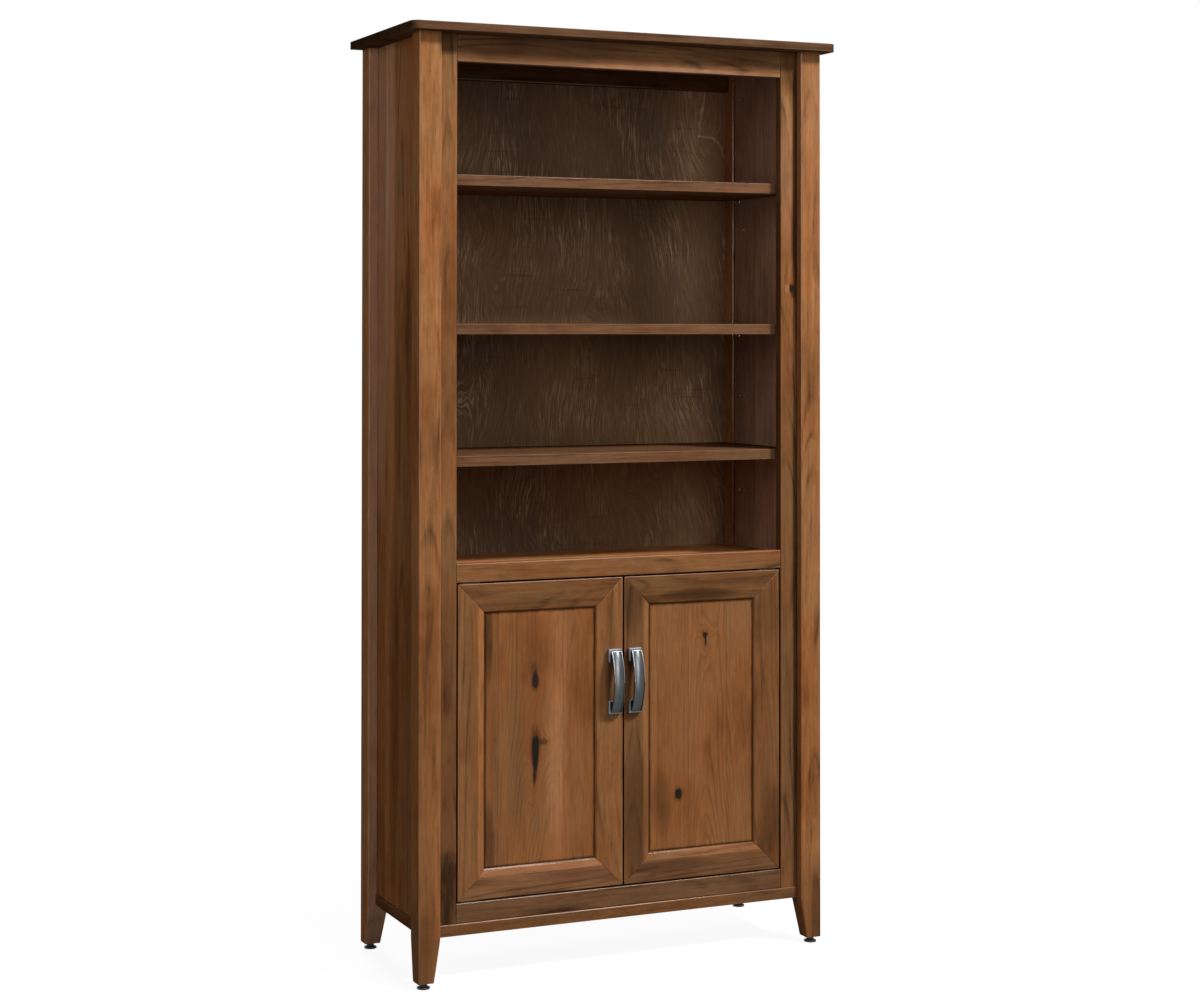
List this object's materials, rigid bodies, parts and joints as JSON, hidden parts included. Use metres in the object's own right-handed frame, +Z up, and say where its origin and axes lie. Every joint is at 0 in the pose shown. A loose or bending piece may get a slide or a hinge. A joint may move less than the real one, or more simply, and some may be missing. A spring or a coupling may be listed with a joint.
{
  "type": "bookcase with cabinet doors",
  "caption": "Tall wooden bookcase with open adjustable shelves over a cabinet with mitred flat-panel doors, on tapered posts with levelling glides.",
  "frame": {"origin": "on the floor under the middle of the top board's outline", "axes": "+X to the right seen from the front, +Y to the back, +Z up"},
  "size_m": [0.9144, 0.3778, 1.8288],
  "materials": {
    "wood": "satin brown stain and clear lacquer",
    "side_panel": "satin brown stain and clear lacquer",
    "door_panel": "satin brown stain over knotty boards",
    "back_plywood": "satin dark stain",
    "pewter": "dark pewter",
    "steel": "nickel plate",
    "glide_black": "matt black"
  },
  "bodies": {
    "carcass": {"top_board": "wood", "front_left_post": "wood", "front_right_post": "wood", "rear_left_post": "wood", "rear_right_post": "wood", "left_stile": "wood", "right_stile": "wood", "top_rail": "wood", "middle_rail": "wood", "bottom_rail": "wood", "front_skirt": "wood", "left_skirt": "wood", "right_skirt": "wood", "upper_deck": "wood", "lower_deck": "wood", "cabinet_shelf": "wood", "upper_front_left_pin": "steel", "upper_rear_left_pin": "steel", "upper_front_right_pin": "steel", "upper_rear_right_pin": "steel", "middle_front_left_pin": "steel", "middle_rear_left_pin": "steel", "middle_front_right_pin": "steel", "middle_rear_right_pin": "steel", "lower_front_left_pin": "steel", "lower_rear_left_pin": "steel", "lower_front_right_pin": "steel", "lower_rear_right_pin": "steel", "left_side_panel": "side_panel", "right_side_panel": "side_panel", "back_panel": "back_plywood", "back_top_rail": "wood", "left_upper_frame_leaf": "steel", "left_lower_frame_leaf": "steel", "right_upper_frame_leaf": "steel", "right_lower_frame_leaf": "steel", "magnetic_catch": "glide_black"},
    "left_door": {"left_door_left_stile": "wood", "left_door_right_stile": "wood", "left_door_top_rail": "wood", "left_door_bottom_rail": "wood", "left_door_panel": "door_panel", "left_door_upper_leaf": "steel", "left_door_lower_leaf": "steel", "left_door_handle": "pewter"},
    "right_door": {"right_door_left_stile": "wood", "right_door_right_stile": "wood", "right_door_top_rail": "wood", "right_door_bottom_rail": "wood", "right_door_panel": "door_panel", "right_door_upper_leaf": "steel", "right_door_lower_leaf": "steel", "right_door_handle": "pewter"},
    "upper_shelf": {"upper_shelf": "wood"},
    "middle_shelf": {"middle_shelf": "wood"},
    "lower_shelf": {"lower_shelf": "wood"},
    "front_left_glide": {"front_left_glide": "glide_black"},
    "front_right_glide": {"front_right_glide": "glide_black"},
    "rear_left_glide": {"rear_left_glide": "glide_black"},
    "rear_right_glide": {"rear_right_glide": "glide_black"}
  },
  "joints": [
    {"name": "left_door_swing", "type": "hinge", "parent": "carcass", "child": "left_door", "pos_m": [-0.33805, -0.1377, 0.457], "axis": [0, 0, -1], "range_deg": [0, 110]},
    {"name": "right_door_swing", "type": "hinge", "parent": "carcass", "child": "right_door", "pos_m": [0.33805, -0.1377, 0.457], "axis": [0, 0, 1], "range_deg": [0, 110]},
    {"name": "upper_shelf_lift", "type": "slide", "parent": "carcass", "child": "upper_shelf", "axis": [0, 0, 1], "range_m": [0, 0.032]},
    {"name": "middle_shelf_lift", "type": "slide", "parent": "carcass", "child": "middle_shelf", "axis": [0, 0, 1], "range_m": [0, 0.032]},
    {"name": "lower_shelf_lift", "type": "slide", "parent": "carcass", "child": "lower_shelf", "axis": [0, 0, 1], "range_m": [0, 0.032]},
    {"name": "front_left_glide_turn", "type": "hinge", "parent": "carcass", "child": "front_left_glide", "pos_m": [-0.41752, -0.14683, 0.006], "axis": [0, 0, 1], "continuous": true},
    {"name": "front_right_glide_turn", "type": "hinge", "parent": "carcass", "child": "front_right_glide", "pos_m": [0.41752, -0.14683, 0.006], "axis": [0, 0, 1], "continuous": true},
    {"name": "rear_left_glide_turn", "type": "hinge", "parent": "carcass", "child": "rear_left_glide", "pos_m": [-0.41752, 0.16823, 0.006], "axis": [0, 0, 1], "continuous": true},
    {"name": "rear_right_glide_turn", "type": "hinge", "parent": "carcass", "child": "rear_right_glide", "pos_m": [0.41752, 0.16823, 0.006], "axis": [0, 0, 1], "continuous": true}
  ]
}
